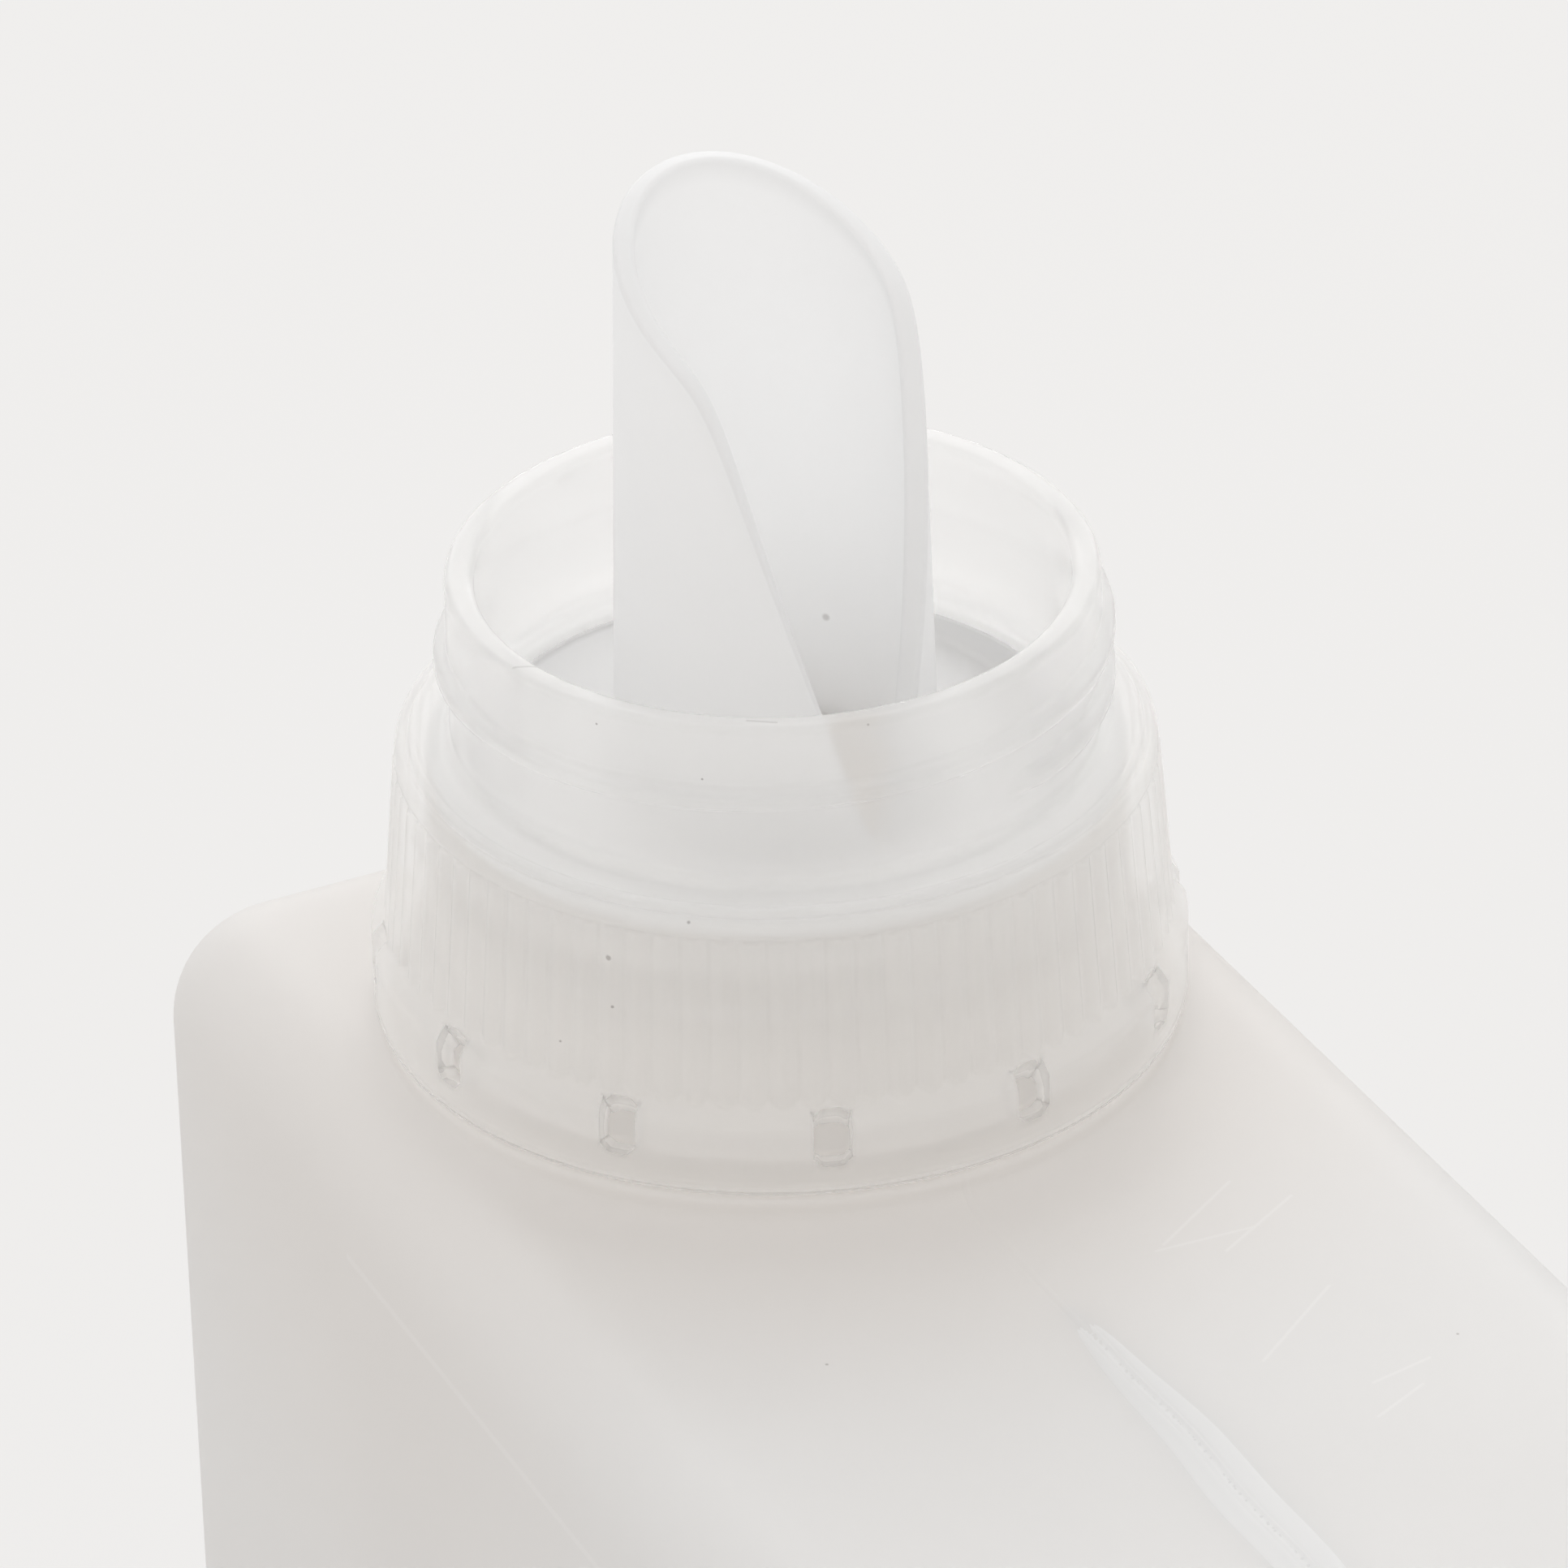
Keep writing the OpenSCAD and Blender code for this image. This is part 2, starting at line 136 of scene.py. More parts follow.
def smooth(a, b, x):
    """0 below a and 1 above b, joined by the cubic 3t^2 - 2t^3 of t = (x - a) / (b - a)."""
    t = np.clip((x - a) / (b - a), 0, 1)
    return t * t * (3 - 2 * t)


def arc(cx, cz, rx, rz, start, end, count):
    """Points (cx + rx cos t, cz + rz sin t) of an ellipse, t going from start to end in degrees."""
    t = np.radians(np.linspace(start, end, count))
    return np.column_stack([cx + rx * np.cos(t), cz + rz * np.sin(t)])


def line(a, b, count):
    """Points a + (b - a) t for t in equal steps after 0 up to 1, so that b is the last of them."""
    t = np.linspace(0, 1, count + 1)[1:, None]
    return np.array(a) + (np.array(b) - np.array(a)) * t


def thread_rise(angle, z, top, start, turns, pitch, depth, root, crest, fade=14):
    """Height of a wound ridge above its wall. The ridge's middle falls by the pitch in one turn
    clockwise from its start, its flanks rise from the root's width to the crest's, eased by the
    cubic, and it fades in and out over its first and last degrees."""
    rise = np.zeros(np.broadcast(angle, z).shape)
    for turn in range(int(turns) + 2):
        travel = np.mod(start - angle, 360) + 360 * turn
        off = np.abs(z - (top - pitch * travel / 360))
        flank = smooth(root / 2, crest / 2, off)
        ends = smooth(0, fade, travel) * smooth(0, fade, 360 * turns - travel)
        rise = np.maximum(rise, flank * ends)
    return depth * rise


def ring_quads(rows, columns):
    """Quads between following rows of a grid whose columns run round and meet again."""
    row = np.arange(rows - 1)[:, None] * columns
    col = np.arange(columns)[None, :]
    nxt = (col + 1) % columns
    quads = np.stack([row + col, row + nxt, row + columns + nxt, row + columns + col], -1)
    return quads.reshape(-1, 4)


def put_mesh(name, points, groups, mark=None):
    """Makes a smooth mesh from points in millimetres and from arrays of faces. The sum of the
    tetrahedra from the origin to each face tells whether the faces look inwards, and turns them.
    The mark is one number for each point, which a finish can read."""
    points = np.asarray(points, float)
    volume = 0.0
    for faces in groups:
        for k in range(1, faces.shape[1] - 1):
            a, b, c = (points[faces[:, j]] for j in (0, k, k + 1))
            volume += float(np.einsum("ij,ij->i", a, np.cross(b, c)).sum())
    if volume < 0:
        groups = [faces[:, ::-1] for faces in groups]
    mesh = bpy.data.meshes.new(name)
    mesh.vertices.add(len(points))
    mesh.vertices.foreach_set("co", (points * MM).astype(np.float32).ravel())
    loops = np.concatenate([faces.ravel() for faces in groups]).astype(np.int32)
    sizes = np.concatenate([np.full(len(faces), faces.shape[1]) for faces in groups])
    mesh.loops.add(len(loops))
    mesh.loops.foreach_set("vertex_index", loops)
    mesh.polygons.add(len(sizes))
    starts = np.concatenate([[0], np.cumsum(sizes)[:-1]]).astype(np.int32)
    mesh.polygons.foreach_set("loop_start", starts)
    mesh.polygons.foreach_set("use_smooth", np.ones(len(sizes), bool))
    mesh.update(calc_edges=True)
    mesh.validate()
    if mark is not None:
        mesh.attributes.new("mark", "FLOAT", "POINT").data.foreach_set("value", mark.astype(np.float32))
    piece = bpy.data.objects.new(name, mesh)
    bpy.context.scene.collection.objects.link(piece)
    return piece


# The bottle

def bottle_columns():
    """For each column round the bottle: the middle of its corner curve, or its foot on the inner
    rectangle's side, and the outward direction there. Sides are divided by equal angles seen from
    the neck's axis, and corners by equal angles of their own."""
    cx, cy = HALF_L - CORNER_R, HALF_W - CORNER_R
    turn = np.radians(np.linspace(0, 90, 17))
    centres, normals = [], []

    def side(fixed, limits, axis, sign, step):
        # the angles of the side's two ends seen from the neck, in equal steps between them
        ends = [np.array([fixed, v] if axis == 0 else [v, fixed]) for v in limits]
        reach = HALF_L if axis == 0 else HALF_W
        seen = []
        for end in ends:
            p = end.copy()
            p[axis] = sign * reach
            seen.append(math.atan2(p[1], p[0] - NECK_X))
        if seen[1] < seen[0]:
            seen[1] += 2 * math.pi
        count = max(2, int(math.degrees(seen[1] - seen[0]) / step))
        t = np.linspace(seen[0], seen[1], count + 1)[1:-1]
        if axis == 0:
            along = (sign * reach - NECK_X) * np.tan(t)
            c = np.column_stack([np.full_like(t, fixed), along])
            n = np.tile([sign, 0.0], (len(t), 1))
        else:
            along = NECK_X + sign * reach / np.tan(t)
            c = np.column_stack([along, np.full_like(t, fixed)])
            n = np.tile([0.0, sign], (len(t), 1))
        centres.append(c)
        normals.append(n)

    def corner(x, y, first):
        a = turn + math.radians(first)
        centres.append(np.tile([x, y], (len(a), 1)))
        normals.append(np.column_stack([np.cos(a), np.sin(a)]))

    side(cx, (-cy, cy), 0, 1.0, 0.8)
    corner(cx, cy, 0)
    side(cy, (cx, -cx), 1, 1.0, 1.4)
    corner(-cx, cy, 90)
    side(-cx, (cy, -cy), 0, -1.0, 1.4)
    corner(-cx, -cy, 180)
    side(-cy, (-cx, cx), 1, -1.0, 1.4)
    corner(cx, -cy, 270)
    return np.concatenate(centres), np.concatenate(normals)


def bottle_surface():
    """One closed skin. Rows of the body are C + (corner radius - inset) N for each column, and rows
    of the neck are circles about its axis. The shoulder's rows run straight from the root ring to
    the middle of the rounded edge, closer together at both ends by a hyperbolic tangent, and their
    height is the edge's quarter circle of the distance outside the flat part, plus the ring's
    hollow fillet. The inside repeats them one wall further in, and is marked with 1."""
    c, n = bottle_columns()
    columns = len(c)
    rim = c + CORNER_R * n
    seen = np.arctan2(rim[:, 1], rim[:, 0] - NECK_X)
    around = np.column_stack([np.cos(seen), np.sin(seen)])
    degrees = np.degrees(seen)
    axis = np.array([NECK_X, 0.0])

    def body(inset, z):
        xy = c + (CORNER_R - inset) * n
        return np.column_stack([xy, np.full(columns, z)])

    def base(shrink, z):
        cx, cy = HALF_L - CORNER_R, HALF_W - CORNER_R
        xy = c * [(cx - shrink) / cx, (cy - min(shrink, cy)) / cy]
        xy = xy + 2.0 * n * max(0.0, 1 - shrink / cx)
        return np.column_stack([xy, np.full(columns, z)])

    def circle(r, z):
        r = np.broadcast_to(r, columns)
        return np.column_stack([axis + around * r[:, None], np.full(columns, SHOULDER_Z + z)])

    def shoulder(r, edge_r, count, ring_h, ring_reach):
        start = axis + around * r
        end = c + (CORNER_R - EDGE_R + edge_r * math.sqrt(0.5)) * n
        far = np.linalg.norm(end - start, axis=1)[:, None]
        pull = np.clip(np.log(far / 2), 0.3, 3.2)
        rows = []
        for t in np.linspace(0, 1, count + 1):
            s = (1 + np.tanh(pull * (2 * t - 1)) / np.tanh(pull)) / 2
            xy = start + (end - start) * s
            flat = np.array([HALF_L - CORNER_R, HALF_W - CORNER_R])
            off = np.abs(xy) - flat
            out = np.linalg.norm(np.maximum(off, 0), axis=1) + np.minimum(off.max(1), 0)
            out = np.clip(out - (CORNER_R - EDGE_R), 0, edge_r)
            z = SHOULDER_Z - EDGE_R + np.sqrt(edge_r ** 2 - out ** 2)
            near = np.clip((r + ring_reach - np.linalg.norm(xy - axis, axis=1)) / ring_reach, 0, 1)
            rows.append(np.column_stack([xy, z + ring_h * (1 - np.sqrt(1 - near ** 2))]))
        return rows

    foot = FOOT_W - EDGE_R
    rows = [base(k, PUNT_H) for k in (26.0, 20.0, 12.0, foot + 3)]
    rows += [base(foot + 1.6, PUNT_H - 0.1), base(foot + 0.8, PUNT_H / 2), base(foot, 0.1)]
    rows += [base(foot - 0.6, 0.0), base(0.0, 0.0)]
    rows += [body(i, z) for i, z in arc(BASE_EDGE_R, BASE_EDGE_R, -BASE_EDGE_R, BASE_EDGE_R, -90, 0, 8)]
    rows += [body(0, z) for z in np.linspace(BASE_EDGE_R, SHOULDER_Z - EDGE_R, 12)[1:-1]]
    rows += [body(i, z) for i, z in arc(EDGE_R, SHOULDER_Z - EDGE_R, -EDGE_R, EDGE_R, 0, 38, 7)]
    rows += shoulder(30.5, EDGE_R, 40, 1.7, 3.6)[::-1] + [circle(30.5, 1.9)]
    rows += [circle(r, z) for r, z in arc(30.0, 2.1, 0.5, 0.5, 0, 90, 4)]
    rows += [circle(27.0, 2.6), circle(26.4, 2.7), circle(26.4, 4.4)]
    rows += [circle(r, z) for r, z in arc(28.1, 5.0, 0.5, 0.5, -90, 0, 4)]
    rows += [circle(28.6, 5.8), circle(25.4, 7.4), circle(25.2, 7.7)]
    for z in np.arange(11.6, 21.6, 0.4):
        rise = thread_rise(degrees, z, 20.0, 0, 1.5, *SCREW_THREAD)
        rows.append(circle(NECK_R + rise, z))
    rows += [circle(r, z) for r, z in arc(NECK_R - 0.4, 22.0, 0.4, 0.4, 0, 90, 4)]
    rows += [circle(r, z) for r, z in arc(MOUTH_R + 0.3, 22.1, -0.3, 0.3, 90, 0, 3)]
    outer_rows = len(rows)
    rows += [circle(MOUTH_R, 14.0), circle(MOUTH_R, 1.8), circle(28.6, 1.4), circle(29.3, 0.8)]
    r = EDGE_R - WALL
    rows += shoulder(29.3, r, 14, 0.0, 1.0)
    rows += [body(i, z) for i, z in arc(EDGE_R, SHOULDER_Z - EDGE_R, -r, r, 38, 0, 4)]
    rows += [body(WALL, z) for z in np.linspace(SHOULDER_Z - EDGE_R, BASE_EDGE_R, 8)[1:-1]]
    r = BASE_EDGE_R - WALL
    rows += [body(i, z) for i, z in arc(BASE_EDGE_R, BASE_EDGE_R, -r, r, 0, -90, 5)]
    rows += [base(0.0, WALL), base(foot, WALL + 0.1), base(foot + 2.2, WALL + PUNT_H)]
    rows += [base(26.0, WALL + PUNT_H)]
    points = np.concatenate(rows)
    quads = ring_quads(len(rows), columns)
    # both ends of the skin close on a point in the middle of the base
    low, high = len(points), len(points) + 1
    points = np.vstack([points, [0, 0, PUNT_H], [0, 0, WALL + PUNT_H]])
    col = np.arange(columns)
    nxt = (col + 1) % columns
    last = (len(rows) - 1) * columns
    fans = np.concatenate([
        np.column_stack([nxt, col, np.full(columns, low)]),
        np.column_stack([last + col, last + nxt, np.full(columns, high)]),
    ])
    inner = (np.arange(len(points)) >= outer_rows * columns).astype(float)
    inner[low] = 0.0
    return points, [quads, fans], inner


def scar_surface(length=62.0, start=10.0, width=4.8, height=0.13):
    """The pinched seam's scar, a grid along X and Y. Its half width swells as a sine from nothing
    at both ends, it stands up as two low mounds, 1 - v^2 less a narrow bell in the middle whose
    floor is rough, and its rim sinks a hair into the shoulder."""
    u = np.linspace(0, 1, 280)[:, None]
    v = np.linspace(-1, 1, 61)[None, :]
    half = 0.25 + (width / 2 - 0.25) * np.sin(np.pi * u) ** 0.6
    wander = 0.25 * np.sin(7.3 * u) + 0.12 * np.sin(23.0 * u + 1.0)
    x = start + length * u + 0 * v
    y = half * v + wander
    across = half * v
    rough = np.sin(611 * u + 9 * v) * np.sin(173 * u - 5 * v) * np.sin(37 * u + 2)
    groove = np.exp(-(across / 0.34) ** 2)
    fine = np.exp(-((np.abs(across) - 0.55) / 0.09) ** 2)
    ends = smooth(0.0, 0.12, u) * smooth(1.0, 0.88, u)
    z = height * (1 - v ** 2) ** 0.5 * (1 - 0.75 * groove - 0.25 * fine + 0.3 * rough * groove)
    z = SHOULDER_Z - 0.03 + ends * z
    top = np.stack([x, y, z], -1)
    low = np.stack([x, y, np.full_like(z, SHOULDER_Z - 0.5)], -1)
    rows, across_count = z.shape
    loop = np.concatenate([top, low[:, ::-1]], 1)
    points = loop.reshape(-1, 3)
    quads = ring_quads(rows, 2 * across_count)
    caps = []
    for r in (0, rows - 1):
        first = r * 2 * across_count + np.arange(across_count - 1)
        far = r * 2 * across_count + 2 * across_count - 1 - np.arange(across_count - 1)
        cap = np.stack([first, first + 1, far - 1, far], -1)
        caps.append(cap if r else cap[:, ::-1])
    return points, [quads, *caps]


# The pouring collar

def rib_wave(angle, count):
    """A row of rounded ribs round the collar: (1 - cos) / 2, whose valleys are kept narrow by
    the power 0.6, so that the ribs are fuller than the valleys."""
    return ((1 - np.cos(np.radians(angle) * count)) / 2) ** 0.6


def collar_surface(look):
    """One closed skin of three bands of rows. The neck and the ledge have a coarse grid, the ribs
    and the band a fine one, and the inside a coarse one again. Each row is a radius and a height
    at every angle. Windows are left out of the fine grid, and walls join their outer edge to their
    inner one."""
    first = look.window_turn
    coarse = first + np.arange(COARSE) * 360 / COARSE
    fine = first + np.arange(FINE) * 360 / FINE

    def ring(angle, r, z):
        a = np.radians(angle)
        r, z = np.broadcast_to(r, a.shape), np.broadcast_to(z, a.shape)
        return np.column_stack([NECK_X + r * np.cos(a), r * np.sin(a), RIM_Z + z])

    # pouring neck, from its bore over the rim and down to the ledge
    path = [line((BORE_R, FLANGE_TOP + 0.2), (BORE_R, -1.0), 9)]
    path += [arc(BORE_R + 0.75, -0.75, 0.75, 0.72, 180, 95, 6)]
    path += [np.array([[23.1, 0.0], [23.5, 0.0]])]
    path += [arc(RIM_R - 0.65, -0.75, 0.65, 0.75, 85, 0, 6)]
    path += [line((RIM_R, -0.9), (RIM_R, -12.2), 42)]
    path += [arc(25.3, -12.55, 0.9, 0.85, 180, 265, 6)]
    path += [np.array([
        [25.7, -13.42], [26.2, -13.46], [26.5, -13.52], [26.75, -13.50], [26.95, -13.36], [27.1, -13.33],
        [27.3, -13.36], [27.42, -13.46], [27.5, -13.64], [27.56, -13.88], [27.64, -13.99], [27.74, -13.98],
        [27.9, -13.9], [28.1, -13.9], [28.28, -13.98], [28.42, -14.12], [28.52, -14.32], [28.57, -14.6],
        [28.6, -14.95]])]
    path = np.concatenate(path)
    upper = []
    for r, z in path:
        if abs(r - RIM_R) < 1e-6 and z < -1:
            r = r + thread_rise(coarse, z, -3.2, CAP_THREAD_START, CAP_THREAD_TURNS, *CAP_THREAD, fade=9)
        upper.append(ring(coarse, r, z))

    # ribs, slope, band and its lower edge
    wave = look.rib_depth / MM * rib_wave(fine - first, look.rib_count)

    def valley(z):
        return 28.3 + 0.0845 * (-15.6 - z)

    def slope(z):
        return 29.35 + (-28.35 - z) * 0.87

    outer = []
    rib_z = [-15.3, -15.45, -15.6, -15.8, -16.1, -17.5, -20.5, -24, -27, -27.8]
    rib_z += [-28.1, -28.3, -28.5, -28.7, -28.85]
    window_top, window_low = -29.0, -33.4
    cut_z = [window_top, -29.15, -29.3, -29.5, -29.75, -30.0, -30.3, -31.0, -31.8, -32.6, window_low]
    low_z = [-34.0, -34.6, -35.05, -35.16, -35.24, -35.35, -35.5]
    for z in rib_z + cut_z + low_z:
        grip = valley(z) + wave * float(smooth(-15.25, -15.75, z))
        grip = grip if z < -15.5 else np.maximum(grip, 28.62 - 0.35 * smooth(-15.25, -15.6, z))
        shell = np.minimum(slope(z), BAND_R - 0.15 - 0.25 * smooth(-30.4, -29.6, z))
        r = np.maximum(grip if z > -30.2 else 0, shell) if z < -28 else grip
        if z < -30.2:
            r = np.full(FINE, BAND_R - 0.1)
        if z < -35.1:
            r = np.full(FINE, BAND_R - 0.1 + {-35.16: -0.1, -35.24: -0.1}.get(z, 0.0))
        outer.append((r, z))
    rim_low = arc(BAND_R - 0.5, BAND_LOW + 0.4, 0.4, 0.4, 0, -90, 4)
    rim_low = np.vstack([rim_low, arc(BAND_BORE_R + 0.35, BAND_LOW + 0.3, 0.35, 0.3, 270, 180, 4)])
    outer += [(np.full(FINE, r), z) for r, z in rim_low]
    inner_cut = [-33.4, -33.1, -32.8, -32.5, -32.25, -32.0, -31.8, -31.6, -31.45, -31.3, -31.15]
    inner_z = [-34.9, -34.2] + inner_cut + [-30.8]
    outer += [(np.full(FINE, min(BAND_BORE_R, BAND_BORE_R - (z + 31.6) * 1.9)), z) for z in inner_z]

    half = round(look.window_width / MM / 2 / (math.radians(360 / FINE) * BAND_R))
    step = FINE // look.window_count
    place = (np.arange(FINE) + step // 2) % step - step // 2
    top_row, low_row = len(rib_z), len(rib_z) + len(cut_z) - 1
    in_low = len(rib_z) + len(cut_z) + len(low_z) + len(rim_low) + 2
    in_top = in_low + len(inner_cut) - 1
    # window corners are eased by moving the edge rows towards the window's middle near its sides
    ease = 0.7 * smooth(half - 2.6, half, np.abs(place)) * (np.abs(place) <= half)
    fine_rows = []
    for k, (r, z) in enumerate(outer):
        shift = {top_row: -ease, low_row: ease, in_low: ease * 0.6, in_top: -ease * 0.6}.get(k, 0.0)
        fine_rows.append(ring(fine, r, z + shift))

    # inside of the skirt, with its thread, the bead that holds the insert, and the insert's seat
    inside = []
    for z in [-30.1] + list(np.arange(-27.6, -18.6, 0.36)) + [-18.2]:
        bore = SKIRT_BORE_R - thread_rise(coarse, z, -21.1, 0, 1.0, *SCREW_THREAD)
        inside.append(ring(coarse, bore, z))
    seat = [(26.5, -17.9), (25.75, -17.6), (25.55, -17.4), (25.55, -17.15), (25.7, -16.95), (26.15, -16.55)]
    seat += [(26.3, -16.0), (26.3, FLANGE_TOP + 0.02), (24.0, FLANGE_TOP + 0.02), (22.35, FLANGE_TOP + 0.05)]
    inside += [ring(coarse, r, z) for r, z in seat]

    a_rows, b_rows, c_rows = len(upper), len(fine_rows), len(inside)
    points = np.concatenate(upper + fine_rows + inside)
    b_first = a_rows * COARSE
    c_first = b_first + b_rows * FINE
    quads = [ring_quads(a_rows, COARSE), ring_quads(c_rows, COARSE) + c_first]

    row = np.arange(b_rows - 1)[:, None]
    left = place[None, :]
    gone = (left >= -half) & (left < half)
    hole = gone & (((row >= top_row) & (row < low_row)) | ((row >= in_low) & (row < in_top)))
    fine_quads = ring_quads(b_rows, FINE).reshape(b_rows - 1, FINE, 4)
    quads.append(fine_quads[~hole] + b_first)

    def at(r, col):
        return b_first + r * FINE + col % FINE

    middles = np.arange(look.window_count)[:, None] * step
    down = np.arange(len(cut_z) - 1)[None, :]
    for edge, flip in ((-half, False), (half, True)):
        col = middles + edge
        wall = np.stack([at(top_row + down, col), at(top_row + down + 1, col),
                         at(in_top - down - 1, col), at(in_top - down, col)], -1)
        quads.append((wall[..., ::-1] if flip else wall).reshape(-1, 4))
    across = middles + np.arange(-half, half)[None, :]
    for out_row, in_row, flip in ((top_row, in_top, True), (low_row, in_low, False)):
        wall = np.stack([at(out_row, across), at(out_row, across + 1),
                         at(in_row, across + 1), at(in_row, across)], -1)
        quads.append((wall[..., ::-1] if flip else wall).reshape(-1, 4))

    # where a coarse row meets a fine one, each coarse step and its two fine steps make one face
    col = np.arange(COARSE)
    nxt = (col + 1) % COARSE
    last_a = (a_rows - 1) * COARSE
    joins = [np.stack([last_a + col, last_a + nxt, b_first + 2 * nxt, b_first + 2 * col + 1,
                       b_first + 2 * col], -1)]
    last_b = b_first + (b_rows - 1) * FINE
    joins.append(np.stack([c_first + nxt, c_first + col, last_b + 2 * col, last_b + 2 * col + 1,
                           last_b + 2 * nxt], -1))
    last_c = c_first + (c_rows - 1) * COARSE
    close = np.stack([last_c + col, last_c + nxt, nxt, col], -1)
    return points, [*quads, close, *joins]


# The spout insert

def soft_min(a, b, k):
    """The lower of a and b, less k ln(1 + e^(-|a - b| / k)), which rounds where they cross."""
    return np.minimum(a, b) - k * np.log1p(np.exp(-np.abs(a - b) / k))


def spout_surface(look):
    """One closed section at every angle: up the spout's outside, over its edge, down its inside,
    under the tilted drain floor, round the plug and the flange, and back over the floor. The edge
    is a cosine lip that blends into a straight notch by the soft minimum, cut square to the wall,
    and its rounding grows with the edge's steepness so that it keeps one size along the cut. The
    cut is marked with 1, less where it runs down to the floor."""
    columns = 480
    angle = np.arange(columns) * 360 / columns
    side = np.where(angle > 180, 360 - angle, angle)
    cosine = np.cos(np.radians(angle))
    drop = look.lip_drop / MM
    wall_t = look.wall / MM
    bore = 22.12
    tilt = math.tan(math.radians(DRAIN_SLOPE))

    def floor(r):
        return FLANGE_TOP - (r * cosine + bore) * tilt

    def outside(z):
        return 11.8 - 0.024 * z

    edge = soft_min(TIP_H - drop - drop * cosine, -21.5 + 0.66 * side, 3.0)
    foot = floor(12.2)
    edge = np.maximum(edge, foot + 0.05)
    steep = np.gradient(np.concatenate([edge[-2:], edge, edge[:2]]), np.radians(360 / columns) * 11)[2:-2]
    stretch = np.minimum(np.hypot(1, steep), 3.2)
    tall = smooth(0.0, 4.0, edge - foot)
    rows = []

    def add(r, z, cut=0.0):
        rows.append((np.broadcast_to(r, columns), np.broadcast_to(z, columns), cut * tall))

    # outside of the spout, with a small fillet at its foot
    fillet = 0.9 * tall
    for t in np.linspace(0, 90, 5)[1:]:
        s = 1 - math.sin(math.radians(t))
        c = 1 - math.cos(math.radians(t))
        add(outside(foot) + fillet * s, floor(12.2) + fillet * c)
    low = foot + fillet
    round_r = 0.42 * tall + 0.02
    top = np.maximum(edge - round_r * stretch, low + 0.01)
    for t in np.linspace(0, 1, 30)[1:]:
        z = low + (top - low) * t
        add(outside(z), z)
    thick = wall_t - 0.2 * smooth(0, TIP_H, edge)
    for t in np.radians([18, 36, 54, 72, 90]):
        z = top + (edge - top) * math.sin(t)
        add(outside(edge) - round_r * (1 - math.cos(t)), z, 1.0)
    inner = outside(edge) - thick
    add((outside(edge) + inner) / 2, edge, 1.0)
    for t in np.radians([90, 72, 54, 36, 18, 0]):
        z = top + (edge - top) * math.sin(t)
        add(inner + round_r * (1 - math.cos(t)), z, 1.0)
    under = floor(10.4) - DRAIN_T
    for t in np.linspace(0, 1, 28)[1:]:
        z = top + (under - top) * t
        add(outside(z) - wall_t + (wall_t - thick) * (1 - t), z)
    for r in (13.5, 16.0, 19.0, bore):
        add(r, floor(r) - DRAIN_T)
    # plug and flange
    low_z, mouth = MOUTH_Z - PLUG_H - RIM_Z, MOUTH_Z - RIM_Z
    for r, z in [(bore, low_z + 0.3), (bore + 0.2, low_z), (22.75, low_z), (22.95, low_z + 0.2),
                 (23.32, low_z + 1.2), (23.32, mouth - 0.3), (23.4, mouth), (25.8, mouth + 0.02),
                 (26.0, mouth + 0.2), (26.0, FLANGE_TOP - 0.2), (25.8, FLANGE_TOP), (22.6, FLANGE_TOP)]:
        add(r, z)
    add(bore, FLANGE_TOP - 0.1)
    add(bore, np.minimum(FLANGE_TOP - 0.15, floor(bore) + 0.5))
    for r in (21.6, 19.0, 16.5, 14.5, 13.6):
        add(r, np.minimum(floor(r), FLANGE_TOP - 0.2))
    turned = np.radians(angle + math.degrees(look.turn))
    points = np.concatenate([np.column_stack([
        NECK_X + r * np.cos(turned), r * np.sin(turned), RIM_Z + z]) for r, z, _ in rows])
    count = len(rows)
    quads = ring_quads(count, columns)
    col = np.arange(columns)
    nxt = (col + 1) % columns
    last = (count - 1) * columns
    close = np.stack([last + col, last + nxt, nxt, col], -1)
    return points, [quads, close], np.concatenate([cut for _, _, cut in rows])


# Finishes

